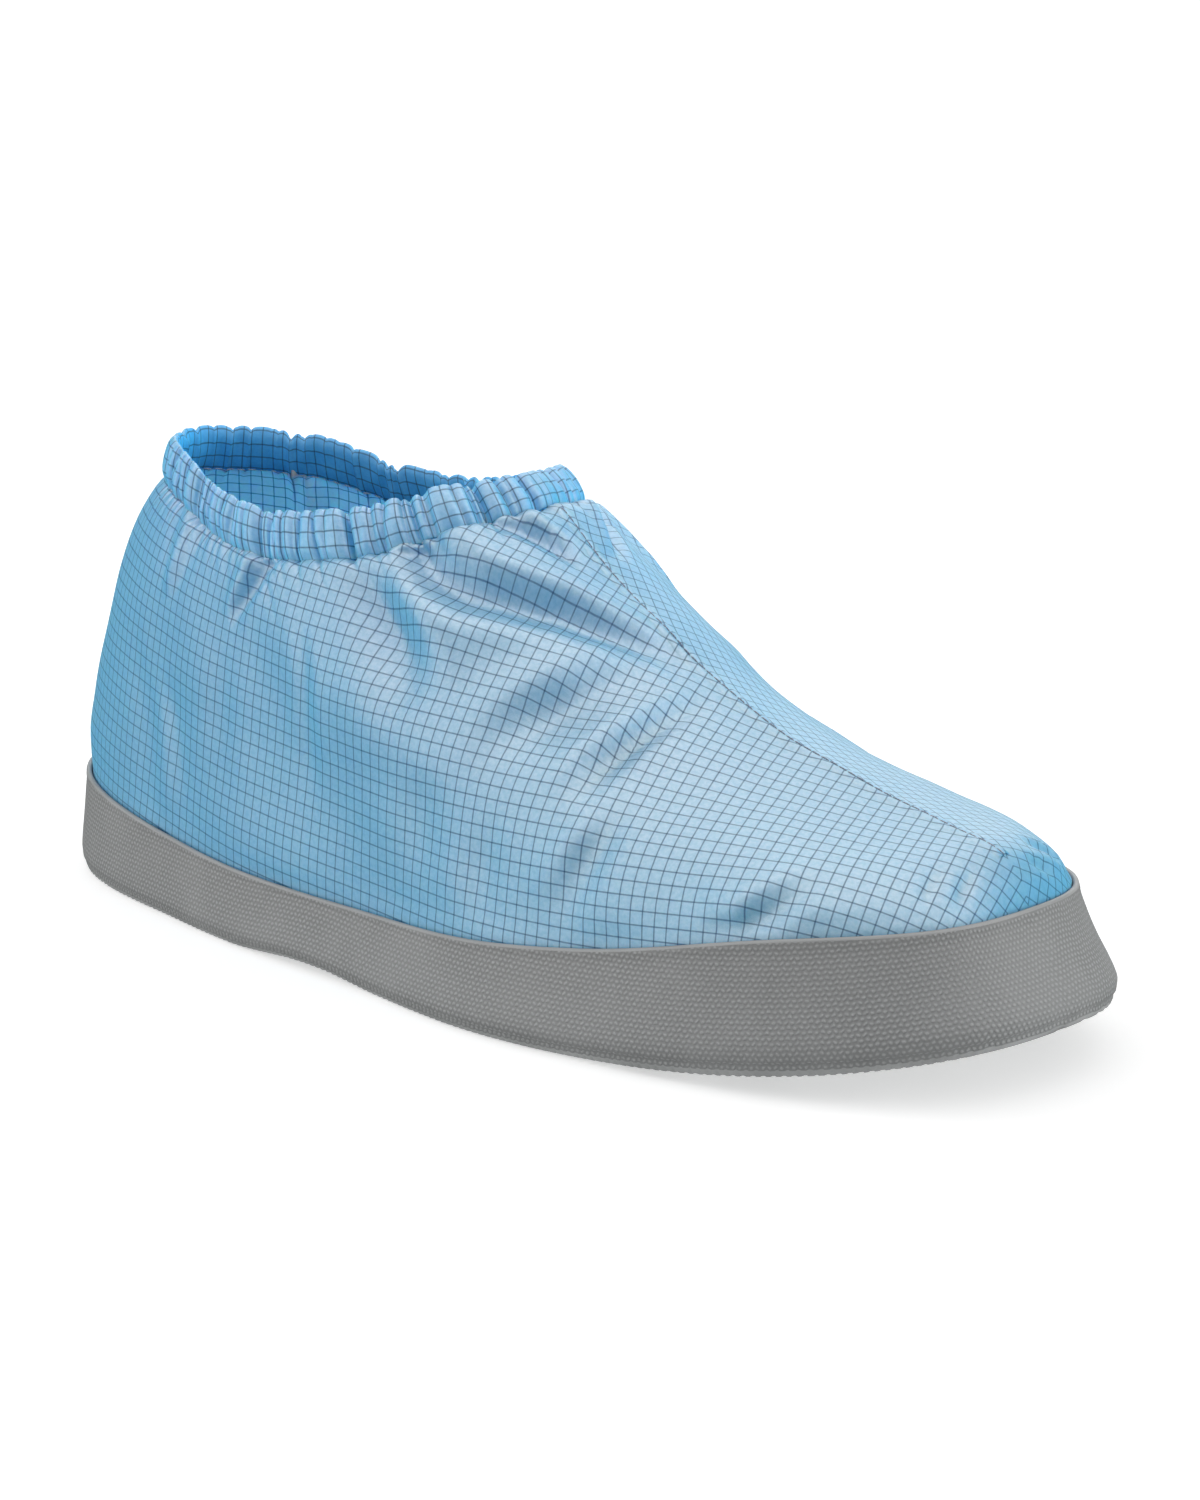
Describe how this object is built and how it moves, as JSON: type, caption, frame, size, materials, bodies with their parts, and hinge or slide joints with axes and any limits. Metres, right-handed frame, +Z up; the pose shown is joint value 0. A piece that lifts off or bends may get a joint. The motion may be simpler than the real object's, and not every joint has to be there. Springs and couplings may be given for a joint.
{
  "type": "cleanroom shoe cover",
  "caption": "Low slip-on cleanroom shoe cover: grid-cloth upper with a gathered elastic collar and a raised front seam, on a grey moulded cup sole with a toe spring.",
  "frame": {"origin": "on the floor under the middle of the sole's length", "axes": "+X to the toe, +Y to the wearer's left, +Z up"},
  "size_m": [0.31, 0.1212, 0.1179],
  "materials": {
    "outsole": "matt grey moulded compound with a fine embossed dot pattern",
    "insole": "flat cloth over thin foam",
    "upper": "light blue woven cloth with a fine dark grid",
    "collar_casing": "the same cloth gathered over elastic",
    "front_seam": "felled and stitched cloth"
  },
  "bodies": {
    "root": {"outsole": "outsole", "insole": "insole", "upper": "upper", "collar_casing": "collar_casing", "front_seam": "front_seam"}
  },
  "joints": []
}
